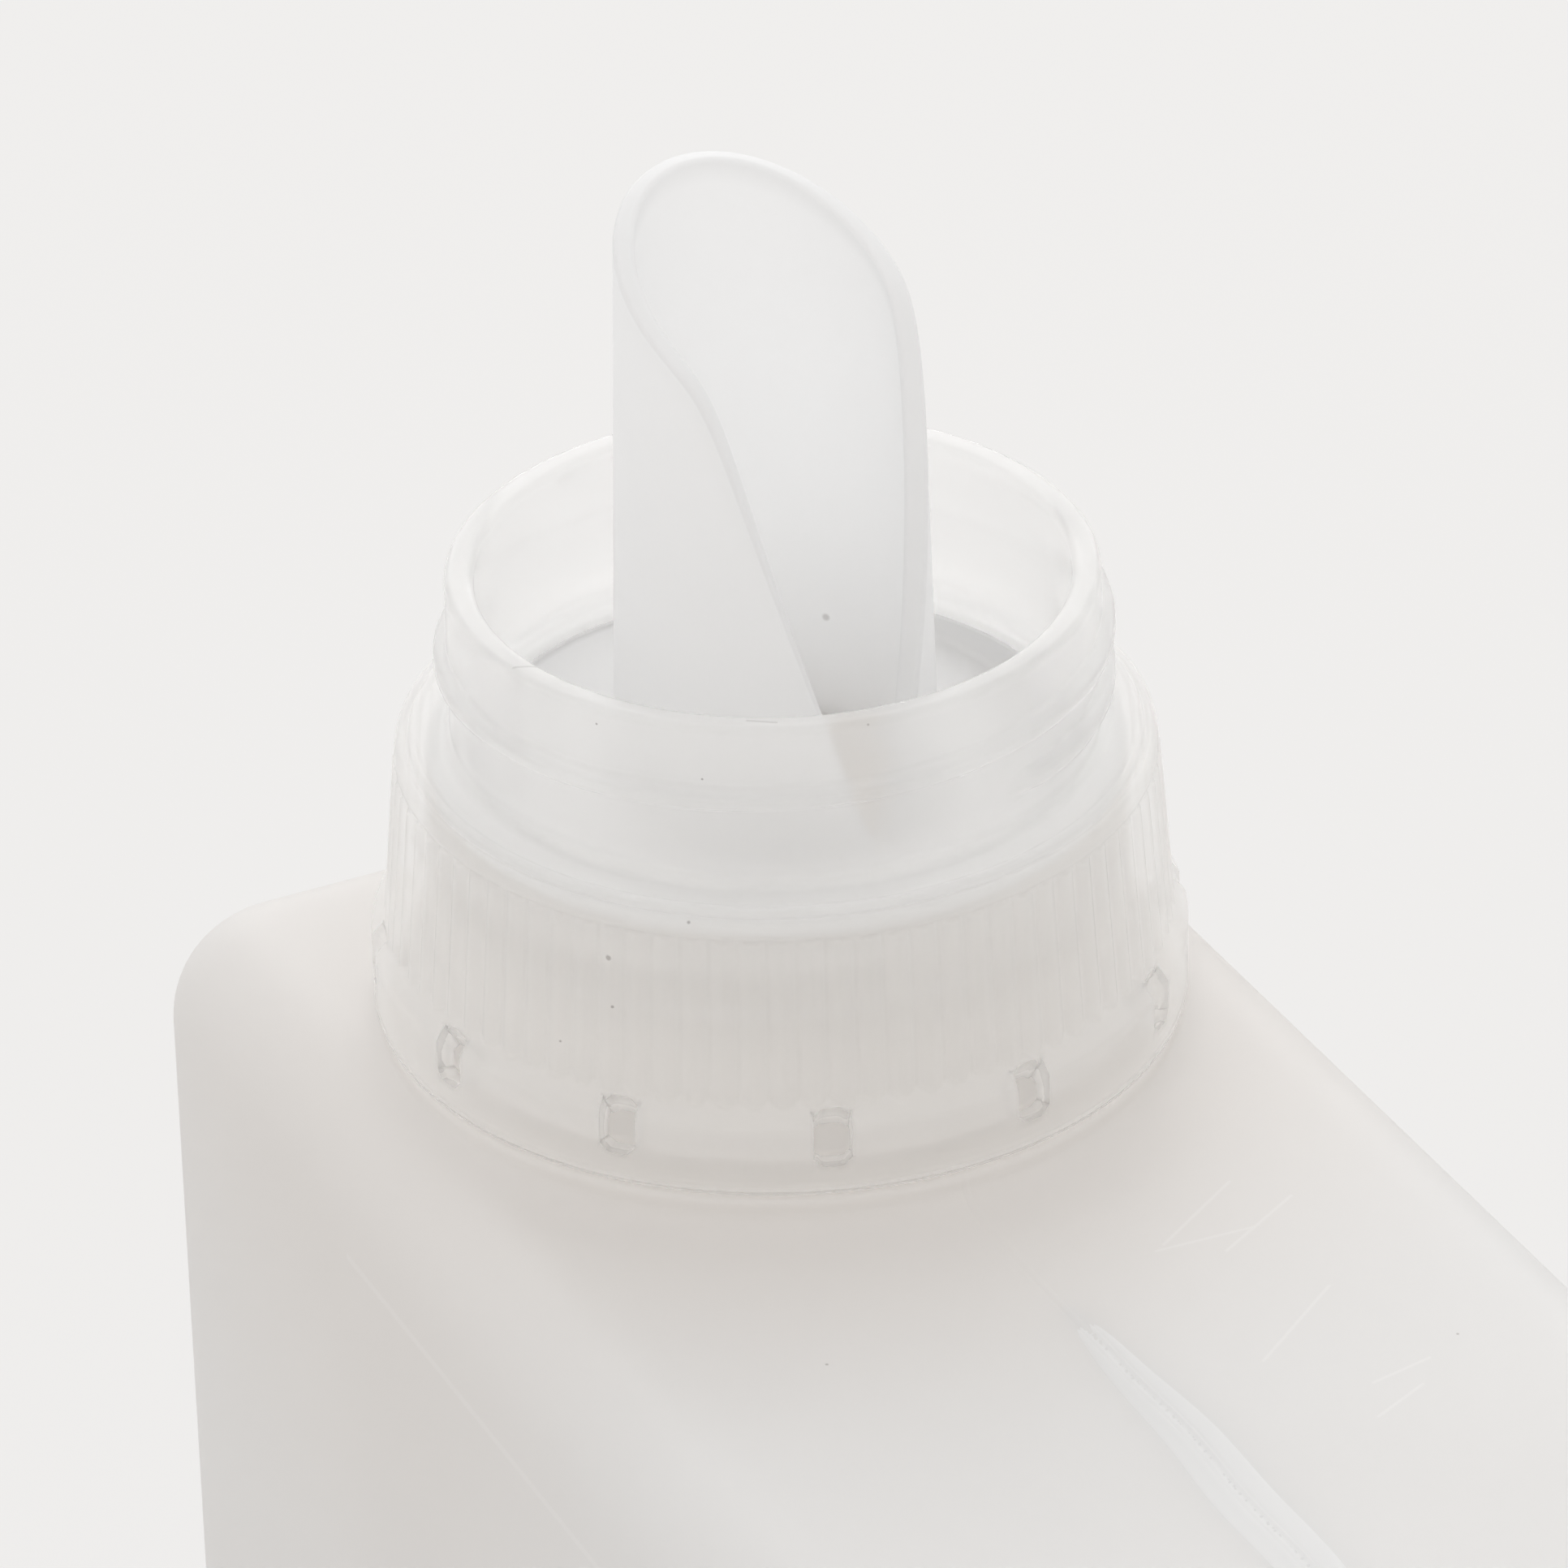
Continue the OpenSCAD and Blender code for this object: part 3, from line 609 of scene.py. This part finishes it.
class Finish:
    """A material's nodes around one Principled shader."""

    def __init__(self, name):
        self.material = bpy.data.materials.new(name)
        self.material.use_nodes = True
        self.tree = self.material.node_tree
        self.shader = self.tree.nodes["Principled BSDF"]
        self.object = self.add("ShaderNodeTexCoord").outputs["Object"]

    def add(self, kind, **settings):
        node = self.tree.nodes.new(kind)
        for key, value in settings.items():
            setattr(node, key, value)
        return node

    def join(self, source, target):
        self.tree.links.new(source, target)

    def feed(self, node, index, value):
        if hasattr(value, "is_output"):
            self.join(value, node.inputs[index])
        else:
            node.inputs[index].default_value = value

    def math(self, operation, a, b=0.0, c=0.0, clamp=False):
        node = self.add("ShaderNodeMath", operation=operation, use_clamp=clamp)
        for index, value in enumerate((a, b, c)):
            self.feed(node, index, value)
        return node.outputs[0]

    def noise(self, scale):
        node = self.add("ShaderNodeTexNoise")
        self.join(self.object, node.inputs["Vector"])
        node.inputs["Scale"].default_value = scale
        node.inputs["Detail"].default_value = 1.0
        return node.outputs["Fac"]

    def step(self, value, low, high, to_low=0.0, to_high=1.0):
        node = self.add("ShaderNodeMapRange", interpolation_type="SMOOTHSTEP", clamp=True)
        self.feed(node, 0, value)
        for index, number in enumerate((low, high, to_low, to_high)):
            self.feed(node, index + 1, number)
        return node.outputs[0]

    def mix(self, factor, a, b, blend="MIX"):
        node = self.add("ShaderNodeMix", data_type="RGBA", blend_type=blend)
        self.feed(node, 0, factor)
        self.feed(node, 6, a)
        self.feed(node, 7, b)
        return node.outputs[2]

    def clouds(self, scale, dark, light):
        """Soft patches of two tones, by the smooth step of a noise between 0.3 and 0.7."""
        return self.mix(self.step(self.noise(scale), 0.3, 0.7), dark, light)

    def cover(self, tone, where, strength, colour):
        """A tone covered by a colour to the given strength where the mask is 1."""
        return self.mix(self.math("MULTIPLY", where, strength), tone, colour)

    def marked(self):
        """The number that put_mesh keeps for each point."""
        return self.add("ShaderNodeAttribute", attribute_name="mark").outputs["Fac"]

    def axis(self, letter):
        node = self.add("ShaderNodeSeparateXYZ")
        self.join(self.object, node.inputs[0])
        return node.outputs[letter]

    def vector(self, operation, a, b, output="Vector"):
        node = self.add("ShaderNodeVectorMath", operation=operation)
        self.feed(node, 0, a)
        self.feed(node, "Scale" if operation == "SCALE" else 1, b)
        return node.outputs[output]

    def near(self, distance, size):
        """1 within half of the size, falling to 0 at the size itself."""
        return self.math("MULTIPLY_ADD", distance, -2 / (size * MM), 2.0, clamp=True)

    def specks(self, places, base):
        """Round specks at given places, as the largest of the nearness to each of them."""
        total = 0.0
        for x, y, z, size in places:
            middle = (x * MM, y * MM, (base + z) * MM)
            spot = self.near(self.vector("DISTANCE", self.object, middle, "Value"), size)
            total = self.math("MAXIMUM", total, spot)
        return total

    def hairs(self, ends, width):
        """Hair scratches: nearness to the closest point a + t (b - a) of each, t from 0 to 1."""
        total = 0.0
        for a, b in ends:
            a, b = Vector(a) * MM, Vector(b) * MM
            away = self.vector("SUBTRACT", self.object, a)
            share = self.vector("DOT_PRODUCT", away, (b - a) / (b - a).length_squared, "Value")
            share = self.math("ADD", share, 0.0, clamp=True)
            foot = self.vector("SCALE", b - a, share)
            hair = self.near(self.vector("DISTANCE", away, foot, "Value"), width)
            total = self.math("MAXIMUM", total, hair)
        return total

    def bump(self, height, strength):
        node = self.add("ShaderNodeBump")
        node.inputs["Strength"].default_value = strength
        node.inputs["Distance"].default_value = SKIN_DEPTH
        self.join(height, node.inputs["Height"])
        self.join(node.outputs[0], self.shader.inputs["Normal"])

    def colour(self, value):
        self.join(value, self.shader.inputs["Base Color"])

    def let_through(self, colour, share):
        """Sends a share of the light on to the other side of the wall, scattered."""
        through = self.add("ShaderNodeBsdfTranslucent")
        self.join(colour, through.inputs["Color"])
        self.show(self.blend(share, self.shader.outputs[0], through.outputs[0]))

    def haze(self, colour, share, clearness):
        """Mixes in a thin haze that lets some light straight through, by its clearness. Half of
        what it catches goes back and half goes on, scattered."""
        back = self.add("ShaderNodeBsdfDiffuse")
        on = self.add("ShaderNodeBsdfTranslucent")
        clear = self.add("ShaderNodeBsdfTransparent")
        self.join(colour, back.inputs["Color"])
        self.join(colour, on.inputs["Color"])
        both = self.blend(0.5, back.outputs[0], on.outputs[0])
        thin = self.blend(clearness, both, clear.outputs[0])
        self.show(self.blend(share, self.shader.outputs[0], thin))

    def show(self, surface):
        self.join(surface, self.tree.nodes["Material Output"].inputs["Surface"])

    def blend(self, share, first, second):
        mix = self.add("ShaderNodeMixShader")
        self.feed(mix, 0, share)
        self.join(first, mix.inputs[1])
        self.join(second, mix.inputs[2])
        return mix.outputs[0]

    def set(self, **values):
        for key, value in values.items():
            self.shader.inputs[key.replace("_", " ")].default_value = value


def grey(colour, factor):
    """A colour with its three parts multiplied by one factor, for nodes that take four parts."""
    return tuple(min(1.0, part * factor) for part in colour[:3]) + (1.0,)


def milky_finish(name, look, white=1.0, specks=(), base_z=0.0):
    """Natural plastic: a milky body that sends part of the light on through its wall, a satin skin
    with a faint orange peel, clouds in its tone and a few specks. The cut of a spout gets a painted shade,
    greyer."""
    f = Finish(name)
    tone = f.clouds(24.0, grey(look.colour, 0.988 * white), grey(look.colour, 1.008 * white))
    if specks:
        # painted shade: the spout's cut edge, read from the mark, is darkened towards grey
        tone = f.cover(tone, f.marked(), 0.5, grey(look.colour, 0.86))
        tone = f.cover(tone, f.specks(specks, base_z), 0.35, SPECK)
    f.colour(tone)
    f.bump(f.noise(90.0), 0.3)
    f.set(Roughness=look.roughness, IOR=1.5)
    f.let_through(tone, look.glow)
    return f.material


def blown_finish(name, look):
    """The blown wall: as the milky plastic, with painted light that makes its neck and inside whiter and
    warmer, a painted warm shade round the neck's root, hair scratches on the shoulder, a painted highlight
    line along the near side and the mould's parting line in the middle."""
    f = Finish(name)
    body = f.clouds(22.0, grey(look.colour, 0.985), grey(look.colour, 1.01))
    # painted shade: a warm, slightly darker tint on the shoulder round the neck's root, standing in for the
    # collar's shade
    root = (NECK_X * MM, 0.0, SHOULDER_Z * MM)
    around = f.step(f.vector("DISTANCE", f.object, root, "Value"), 0.065, 0.028)
    body = f.mix(around, body, (1.0, 0.982, 0.967, 1), "MULTIPLY")
    # painted light: the neck above the shoulder and the whole inside take a whiter, warmer colour that
    # stands in for the light they get
    neck = f.step(f.axis("Z"), SHOULDER_Z * MM, (SHOULDER_Z + 3) * MM)
    tone = f.mix(f.math("MAXIMUM", neck, f.marked()), body, tuple(look.painted_light_colour) + (1.0,))
    on_top = [((*a, SHOULDER_Z), (*b, SHOULDER_Z)) for a, b in SHOULDER_HAIRS]
    tone = f.cover(tone, f.hairs(on_top, 0.17), 0.25, WHITE)
    # painted highlight: a paler line along the near side, just below the rounded edge
    side_highlight = [(x, -HALF_W, SHOULDER_Z + z) for x, z in SIDE_HIGHLIGHT]
    tone = f.cover(tone, f.hairs([side_highlight], 0.4), 0.2, WHITE)
    tone = f.cover(tone, f.specks(BOTTLE_SPECKS, SHOULDER_Z), 0.4, SPECK)
    f.colour(tone)
    seam = f.step(f.math("ABSOLUTE", f.axis("Y")), 0.35 * MM, 0.1 * MM)
    f.bump(f.math("MULTIPLY_ADD", seam, 1.2, f.noise(70.0)), 0.3)
    f.set(Roughness=look.roughness, IOR=1.5)
    f.let_through(tone, look.glow)
    return f.material


def clear_finish(name, look):
    """Moulded clear plastic with a milky haze, thin in the pouring neck and denser in the skirt. Its
    skin is glossy, with a faint wave from the mould, hairs across the rim and a few specks."""
    f = Finish(name)
    tone = f.clouds(35.0, grey(look.colour, 0.995), grey(look.colour, 1.0))
    tone = f.cover(tone, f.specks(COLLAR_SPECKS, RIM_Z), 0.8, SPECK)
    across = f.hairs([((*a, RIM_Z), (*b, RIM_Z)) for a, b in RIM_HAIRS], 0.16)
    tone = f.cover(tone, across, 0.3, SPECK)
    f.colour(tone)
    f.bump(f.noise(70.0), 0.2)
    f.set(Roughness=look.roughness, IOR=1.12, Transmission_Weight=1.0,
          Coat_Weight=1.0, Coat_Roughness=0.03)
    low = f.step(f.axis("Z"), (RIM_Z - 11.5) * MM, (RIM_Z - 13.5) * MM, look.neck_haze, look.skirt_haze)
    f.haze(tone, low, look.clearness)
    return f.material


# What a user may change

class BottleLook(bpy.types.PropertyGroup):
    colour: bpy.props.FloatVectorProperty(
        name="Colour", description="Colour of the milky plastic", subtype="COLOR",
        default=(0.875, 0.876, 0.876), min=0, max=1)
    roughness: bpy.props.FloatProperty(
        name="Roughness", description="How satin the skin is", default=0.42, min=0, max=1)
    # painted light: colour given to the neck above the shoulder and to the inside of the bottle, whiter and
    # warmer than the body
    painted_light_colour: bpy.props.FloatVectorProperty(
        name="Neck colour", description="Colour of the neck above the shoulder", subtype="COLOR",
        default=(0.97, 0.957, 0.943), min=0, max=1)
    glow: bpy.props.FloatProperty(
        name="Glow", description="Share of light that goes on through the wall", default=0.5, min=0, max=1)


class CollarLook(bpy.types.PropertyGroup):
    rib_count: bpy.props.IntProperty(
        name="Ribs", description="Number of grip ribs", default=84, min=24, max=168)
    rib_depth: bpy.props.FloatProperty(
        name="Rib depth", description="How far a rib stands out", unit="LENGTH",
        default=0.45 * MM, min=0.0001, max=0.001, precision=5)
    window_count: bpy.props.IntProperty(
        name="Windows", description="Number of windows in the band", default=12, min=4, max=12)
    window_width: bpy.props.FloatProperty(
        name="Window width", description="Width of a window", unit="LENGTH",
        default=2.8 * MM, min=0.001, max=0.005, precision=4)
    window_turn: bpy.props.FloatProperty(
        name="Window angle", description="Angle of the first window from +X, in degrees", default=10.9)
    colour: bpy.props.FloatVectorProperty(
        name="Colour", description="Colour of the hazy plastic", subtype="COLOR",
        default=(1.0, 0.996, 0.991), min=0, max=1)
    roughness: bpy.props.FloatProperty(
        name="Roughness", description="How dull the skin is", default=0.3, min=0, max=1)
    clearness: bpy.props.FloatProperty(
        name="Clearness", description="Share of light that the haze lets pass", default=0.6, min=0, max=1)
    neck_haze: bpy.props.FloatProperty(
        name="Neck haze", description="Share of haze in the pouring neck", default=0.55, min=0, max=1)
    skirt_haze: bpy.props.FloatProperty(
        name="Skirt haze", description="Share of haze in the skirt", default=0.85, min=0, max=1)


class SpoutLook(bpy.types.PropertyGroup):
    lip_drop: bpy.props.FloatProperty(
        name="Lip drop", description="Fall of the edge from its tip to its cheeks", unit="LENGTH",
        default=6.6 * MM, min=0.002, max=0.012, precision=4)
    wall: bpy.props.FloatProperty(
        name="Wall", description="Thickness of the spout's wall", unit="LENGTH",
        default=1.8 * MM, min=0.001, max=0.003, precision=4)
    turn: bpy.props.FloatProperty(
        name="Turn", description="Angle of the open side from +X", subtype="ANGLE",
        default=math.radians(14))
    colour: bpy.props.FloatVectorProperty(
        name="Colour", description="Colour of the milky plastic", subtype="COLOR",
        default=(0.96, 0.962, 0.964), min=0, max=1)
    roughness: bpy.props.FloatProperty(
        name="Roughness", description="How satin the skin is", default=0.45, min=0, max=1)
    glow: bpy.props.FloatProperty(
        name="Glow", description="Share of light that goes on through the wall", default=0.5, min=0, max=1)


class StageLook(bpy.types.PropertyGroup):
    backdrop: bpy.props.FloatVectorProperty(
        name="Backdrop", description="Pale colour behind the container", subtype="COLOR",
        default=(0.845, 0.835, 0.825), min=0, max=1)
    top_light: bpy.props.FloatProperty(
        name="Top light", description="Power of the softbox above", default=1.2, min=0)
    back_light: bpy.props.FloatProperty(
        name="Back light", description="Power of the softbox behind", default=9.0, min=0)
    room_light: bpy.props.FloatProperty(
        name="Room light", description="Strength of the light from all round", default=1.0, min=0)
    front_tint: bpy.props.FloatVectorProperty(
        name="Front tint", description="Colour of the room's light from the front", subtype="COLOR",
        default=(0.92, 0.895, 0.87), min=0, max=1)


# The tools that build each piece

def dress(piece, body, finish, node=None):
    """Gives a piece its finish, its body and its slot, and lets it stand for a frame node."""
    piece.data.materials.append(finish)
    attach(piece, body)
    if node:
        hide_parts(node)


class CONTAINER_OT_bottle(bpy.types.Operator):
    """Builds the blown bottle and the scar of its pinched seam"""
    bl_idname = "container.bottle"
    bl_label = "Bottle"

    def execute(self, context):
        look = context.scene.container_bottle
        finish = blown_finish("milky_bottle", look)
        dress(put_mesh("blown_bottle", *bottle_surface()), "bottle", finish, "bottle")
        scar = milky_finish("milky_scar", look, 1.07)
        dress(put_mesh("pinched_seam", *scar_surface()), "bottle", scar)
        return {"FINISHED"}


class CONTAINER_OT_collar(bpy.types.Operator):
    """Builds the pouring collar with its ribs, windows and threads"""
    bl_idname = "container.collar"
    bl_label = "Pouring collar"

    def execute(self, context):
        look = context.scene.container_collar
        finish = clear_finish("clear_collar", look)
        piece = put_mesh("ribbed_collar", *collar_surface(look))
        dress(piece, "collar", finish, "pouring_collar")
        return {"FINISHED"}


class CONTAINER_OT_spout(bpy.types.Operator):
    """Builds the spout insert with its scooped edge and its drain floor"""
    bl_idname = "container.spout"
    bl_label = "Spout insert"

    def execute(self, context):
        look = context.scene.container_spout
        finish = milky_finish("milky_spout", look, 1.0, SPOUT_SPECKS, RIM_Z)
        piece = put_mesh("scooped_spout", *spout_surface(look))
        dress(piece, "spout", finish, "spout_insert")
        return {"FINISHED"}


class CONTAINER_OT_stage(bpy.types.Operator):
    """Sets the pale floor, the soft lights and the camera"""
    bl_idname = "container.stage"
    bl_label = "Stage"

    def execute(self, context):
        scene = context.scene
        look = scene.container_stage
        scene.view_settings.view_transform = "Standard"
        scene.cycles.max_bounces = 12
        scene.cycles.diffuse_bounces = 7
        scene.cycles.transmission_bounces = 8
        scene.cycles.transparent_max_bounces = 12
        pale_floor(look)
        room(scene, look)
        softbox("light_above", (-0.3, 0.15, 1.2), (NECK_X * MM, 0, 0.2), 1.2, look.top_light)
        softbox("light_behind", (-1.3, 0.62, 1.0), (0, 0, 0.18), 1.5, look.back_light)
        set_camera(scene)
        return {"FINISHED"}


def backdrop_factor(tree):
    """1 for rays that come from the camera, from gloss or through clear plastic, and 0 for the
    rays that light the object: the largest of the three Light Path outputs, times 1 as long as
    the path has met no scattering wall, which its Diffuse Depth tells."""
    path = tree.nodes.new("ShaderNodeLightPath")
    largest = path.outputs["Is Camera Ray"]
    for name in ("Is Glossy Ray", "Is Transmission Ray"):
        node = tree.nodes.new("ShaderNodeMath")
        node.operation = "MAXIMUM"
        tree.links.new(largest, node.inputs[0])
        tree.links.new(path.outputs[name], node.inputs[1])
        largest = node.outputs[0]
    first = tree.nodes.new("ShaderNodeMath")
    first.operation = "LESS_THAN"
    first.inputs[1].default_value = 0.5
    tree.links.new(path.outputs["Diffuse Depth"], first.inputs[0])
    both = tree.nodes.new("ShaderNodeMath")
    both.operation = "MULTIPLY"
    tree.links.new(largest, both.inputs[0])
    tree.links.new(first.outputs[0], both.inputs[1])
    return both.outputs[0]


def pale_floor(look):
    """A wide flat sheet at the container's foot, which looks nearly as pale as the backdrop."""
    reach, paleness = 4000, 0.85
    u = np.linspace(-reach, reach, 3)
    x, y = np.meshgrid(u, u, indexing="xy")
    points = np.column_stack([x.ravel(), y.ravel(), np.full(9, -0.05)])
    corner = (np.arange(2)[:, None] * 3 + np.arange(2)[None, :]).ravel()
    quads = np.stack([corner, corner + 1, corner + 4, corner + 3], -1)
    floor = put_mesh("floor", points, [quads])
    material = bpy.data.materials.new("pale_floor")
    material.use_nodes = True
    tree = material.node_tree
    shader = tree.nodes["Principled BSDF"]
    shader.inputs["Base Color"].default_value = FLOOR
    shader.inputs["Roughness"].default_value = 0.9
    shader.inputs["Specular IOR Level"].default_value = 0.0
    pale = tree.nodes.new("ShaderNodeEmission")
    pale.inputs["Color"].default_value = tuple(look.backdrop) + (1,)
    weight = tree.nodes.new("ShaderNodeMath")
    weight.operation = "MULTIPLY"
    weight.inputs[1].default_value = paleness
    tree.links.new(backdrop_factor(tree), weight.inputs[0])
    mix = tree.nodes.new("ShaderNodeMixShader")
    tree.links.new(weight.outputs[0], mix.inputs[0])
    tree.links.new(shader.outputs[0], mix.inputs[1])
    tree.links.new(pale.outputs[0], mix.inputs[2])
    tree.links.new(mix.outputs[0], tree.nodes["Material Output"].inputs["Surface"])
    floor.data.materials.append(material)


def room(scene, look):
    """Light from all round, whitest at the back and above, and dimmer and warmer from the front by
    the smooth step of the direction's share towards it. Seen directly it has the backdrop's colour."""
    world = bpy.data.worlds.new("soft_room")
    scene.world = world
    world.use_nodes = True
    tree = world.node_tree
    lit = tree.nodes["Background"]
    lit.inputs["Strength"].default_value = look.room_light
    toward = tree.nodes.new("ShaderNodeVectorMath")
    toward.operation = "DOT_PRODUCT"
    toward.inputs[1].default_value = FRONT
    tree.links.new(tree.nodes.new("ShaderNodeTexCoord").outputs["Generated"], toward.inputs[0])
    share = tree.nodes.new("ShaderNodeMapRange")
    share.interpolation_type = "SMOOTHSTEP"
    share.inputs["From Min"].default_value = -0.3
    share.inputs["From Max"].default_value = 0.9
    tree.links.new(toward.outputs["Value"], share.inputs["Value"])
    tint = tree.nodes.new("ShaderNodeMix")
    tint.data_type = "RGBA"
    tint.inputs[6].default_value = WHITE
    tint.inputs[7].default_value = tuple(look.front_tint) + (1,)
    tree.links.new(share.outputs[0], tint.inputs[0])
    tree.links.new(tint.outputs[2], lit.inputs["Color"])
    seen = tree.nodes.new("ShaderNodeBackground")
    seen.inputs["Color"].default_value = tuple(look.backdrop) + (1,)
    mix = tree.nodes.new("ShaderNodeMixShader")
    tree.links.new(backdrop_factor(tree), mix.inputs[0])
    tree.links.new(lit.outputs[0], mix.inputs[1])
    tree.links.new(seen.outputs[0], mix.inputs[2])
    tree.links.new(mix.outputs[0], tree.nodes["World Output"].inputs["Surface"])


def softbox(name, place, aim, size, power):
    """A square white lamp at a place, turned to face the point it is aimed at."""
    lamp = bpy.data.lights.new(name, "AREA")
    lamp.size = size
    lamp.energy = power
    box = bpy.data.objects.new(name, lamp)
    box.location = place
    box.rotation_euler = (Vector(aim) - Vector(place)).to_track_quat("-Z", "Y").to_euler()
    bpy.context.scene.collection.objects.link(box)


def set_camera(scene):
    """A long lens, looking down on the neck from the near long side. The
    directions and the camera's way from the rim's middle were fitted to the rims in the photo."""
    forward = Vector((-0.77658685, 0.37524955, -0.50606387))
    right = Vector((0.44420932, 0.89575287, -0.01746075))
    up = right.cross(forward)
    away = Vector((0.54720511, -0.26383655, 0.33749329))
    place = Vector((NECK_X * MM, 0, RIM_Z * MM)) + away
    lens = bpy.data.cameras.new("camera")
    lens.sensor_width = SENSOR
    lens.lens = SENSOR * LENS_PIXELS / PHOTO_PIXELS
    lens.clip_start = 0.01
    lens.clip_end = 50
    camera = bpy.data.objects.new("camera", lens)
    rows = [[right[i], up[i], -forward[i], place[i]] for i in range(3)]
    camera.matrix_world = Matrix(rows + [[0, 0, 0, 1]])
    scene.collection.objects.link(camera)
    scene.camera = camera


class CONTAINER_PT_tools(bpy.types.Panel):
    """Lists the tools that build the container, and what each of them lets a user change"""
    bl_label = "Refill container"
    bl_idname = "CONTAINER_PT_tools"
    bl_space_type = "VIEW_3D"
    bl_region_type = "UI"
    bl_category = "Container"

    def draw(self, context):
        for tool, group in TOOLS:
            box = self.layout.box()
            box.operator(tool.bl_idname)
            for name in group.__annotations__:
                box.prop(getattr(context.scene, "container_" + tool.bl_idname.split(".")[1]), name)


TOOLS = (
    (CONTAINER_OT_bottle, BottleLook),
    (CONTAINER_OT_collar, CollarLook),
    (CONTAINER_OT_spout, SpoutLook),
    (CONTAINER_OT_stage, StageLook),
)


def register():
    for tool, group in TOOLS:
        bpy.utils.register_class(group)
        bpy.utils.register_class(tool)
        name = "container_" + tool.bl_idname.split(".")[1]
        setattr(bpy.types.Scene, name, bpy.props.PointerProperty(type=group))
    bpy.utils.register_class(CONTAINER_PT_tools)


def unregister():
    bpy.utils.unregister_class(CONTAINER_PT_tools)
    for tool, group in TOOLS:
        delattr(bpy.types.Scene, "container_" + tool.bl_idname.split(".")[1])
        bpy.utils.unregister_class(tool)
        bpy.utils.unregister_class(group)


def main():
    """Builds every piece in order."""
    register()
    bpy.ops.container.bottle()
    bpy.ops.container.collar()
    bpy.ops.container.spout()
    bpy.ops.container.stage()


if __name__ == "__main__":
    main()
